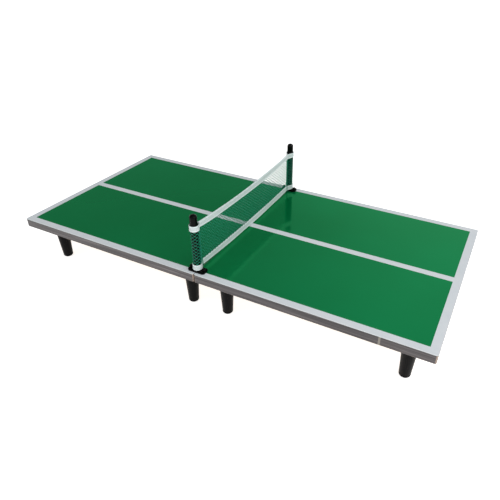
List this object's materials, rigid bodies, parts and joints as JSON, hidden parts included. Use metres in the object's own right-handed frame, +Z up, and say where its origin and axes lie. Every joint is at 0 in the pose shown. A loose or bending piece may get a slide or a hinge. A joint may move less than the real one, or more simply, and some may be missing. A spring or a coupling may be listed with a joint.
{
  "type": "ping pong table",
  "caption": "Small tabletop ping pong table: hinged green panels on screw-in legs, with a net strung between posts at the seam.",
  "frame": {"origin": "on the floor under the middle of the table", "axes": "+X along the table towards its right end, +Y across it towards the far side, +Z up"},
  "size_m": [0.76, 0.36, 0.193],
  "materials": {
    "mdf": "raw fibreboard",
    "green_laminate": "glossy printed laminate",
    "white_paint": "glossy printed line",
    "edge_film": "printed wood grain film, satin",
    "insert_brass": "turned",
    "zinc_steel": "zinc plated",
    "leg_black": "satin moulded",
    "foot_rubber": "matt",
    "post_black": "glossy moulded",
    "net_green": "knotless polyester mesh",
    "tape_white": "woven tape"
  },
  "bodies": {
    "left_half": {"left_board": "mdf", "left_playing_sheet": "green_laminate", "left_court_lines": "white_paint", "left_edge_film": "edge_film", "left_leg_inserts": "insert_brass", "left_hinge_screws": "zinc_steel", "near_hinge_left_leaf": "zinc_steel", "far_hinge_left_leaf": "zinc_steel", "near_hinge_pin": "zinc_steel", "far_hinge_pin": "zinc_steel"},
    "right_half": {"right_board": "mdf", "right_playing_sheet": "green_laminate", "right_court_lines": "white_paint", "right_edge_film": "edge_film", "right_leg_inserts": "insert_brass", "right_hinge_screws": "zinc_steel", "near_hinge_right_leaf": "zinc_steel", "far_hinge_right_leaf": "zinc_steel"},
    "near_post": {"near_post_upright": "post_black", "near_post_base": "post_black"},
    "far_post": {"far_post_upright": "post_black", "far_post_base": "post_black"},
    "net": {"net_mesh": "net_green", "near_net_sleeve": "net_green", "far_net_sleeve": "net_green", "near_net_hem": "net_green", "far_net_hem": "net_green", "net_top_tape": "tape_white", "net_bottom_tape": "tape_white"},
    "near_left_end_leg": {"near_left_end_leg": "leg_black", "near_left_end_leg_stud": "zinc_steel", "near_left_end_leg_foot": "foot_rubber"},
    "near_left_seam_leg": {"near_left_seam_leg": "leg_black", "near_left_seam_leg_stud": "zinc_steel", "near_left_seam_leg_foot": "foot_rubber"},
    "near_right_seam_leg": {"near_right_seam_leg": "leg_black", "near_right_seam_leg_stud": "zinc_steel", "near_right_seam_leg_foot": "foot_rubber"},
    "near_right_end_leg": {"near_right_end_leg": "leg_black", "near_right_end_leg_stud": "zinc_steel", "near_right_end_leg_foot": "foot_rubber"},
    "far_left_end_leg": {"far_left_end_leg": "leg_black", "far_left_end_leg_stud": "zinc_steel", "far_left_end_leg_foot": "foot_rubber"},
    "far_left_seam_leg": {"far_left_seam_leg": "leg_black", "far_left_seam_leg_stud": "zinc_steel", "far_left_seam_leg_foot": "foot_rubber"},
    "far_right_seam_leg": {"far_right_seam_leg": "leg_black", "far_right_seam_leg_stud": "zinc_steel", "far_right_seam_leg_foot": "foot_rubber"},
    "far_right_end_leg": {"far_right_end_leg": "leg_black", "far_right_end_leg_stud": "zinc_steel", "far_right_end_leg_foot": "foot_rubber"}
  },
  "joints": [
    {"name": "table_fold", "type": "hinge", "parent": "left_half", "child": "right_half", "pos_m": [0, 0, 0.0742], "axis": [0, 1, 0], "range_deg": [0, 32]},
    {"name": "near_post_lift", "type": "slide", "parent": "left_half", "child": "near_post", "axis": [0, 0, 1], "range_m": [0, 0.03]},
    {"name": "far_post_lift", "type": "slide", "parent": "left_half", "child": "far_post", "axis": [0, 0, 1], "range_m": [0, 0.03]},
    {"name": "net_pull_off", "type": "slide", "parent": "near_post", "child": "net", "axis": [0, 0, 1], "range_m": [0, 0.105]},
    {"name": "near_left_end_leg_unscrew", "type": "slide", "parent": "left_half", "child": "near_left_end_leg", "axis": [0, 0, -1], "range_m": [0, 0.012]},
    {"name": "near_left_seam_leg_unscrew", "type": "slide", "parent": "left_half", "child": "near_left_seam_leg", "axis": [0, 0, -1], "range_m": [0, 0.012]},
    {"name": "near_right_seam_leg_unscrew", "type": "slide", "parent": "right_half", "child": "near_right_seam_leg", "axis": [0, 0, -1], "range_m": [0, 0.012]},
    {"name": "near_right_end_leg_unscrew", "type": "slide", "parent": "right_half", "child": "near_right_end_leg", "axis": [0, 0, -1], "range_m": [0, 0.012]},
    {"name": "far_left_end_leg_unscrew", "type": "slide", "parent": "left_half", "child": "far_left_end_leg", "axis": [0, 0, -1], "range_m": [0, 0.012]},
    {"name": "far_left_seam_leg_unscrew", "type": "slide", "parent": "left_half", "child": "far_left_seam_leg", "axis": [0, 0, -1], "range_m": [0, 0.012]},
    {"name": "far_right_seam_leg_unscrew", "type": "slide", "parent": "right_half", "child": "far_right_seam_leg", "axis": [0, 0, -1], "range_m": [0, 0.012]},
    {"name": "far_right_end_leg_unscrew", "type": "slide", "parent": "right_half", "child": "far_right_end_leg", "axis": [0, 0, -1], "range_m": [0, 0.012]}
  ],
  "couplings": [
    {"joint": "far_post_lift", "follows": "near_post_lift", "ratio": 1}
  ]
}
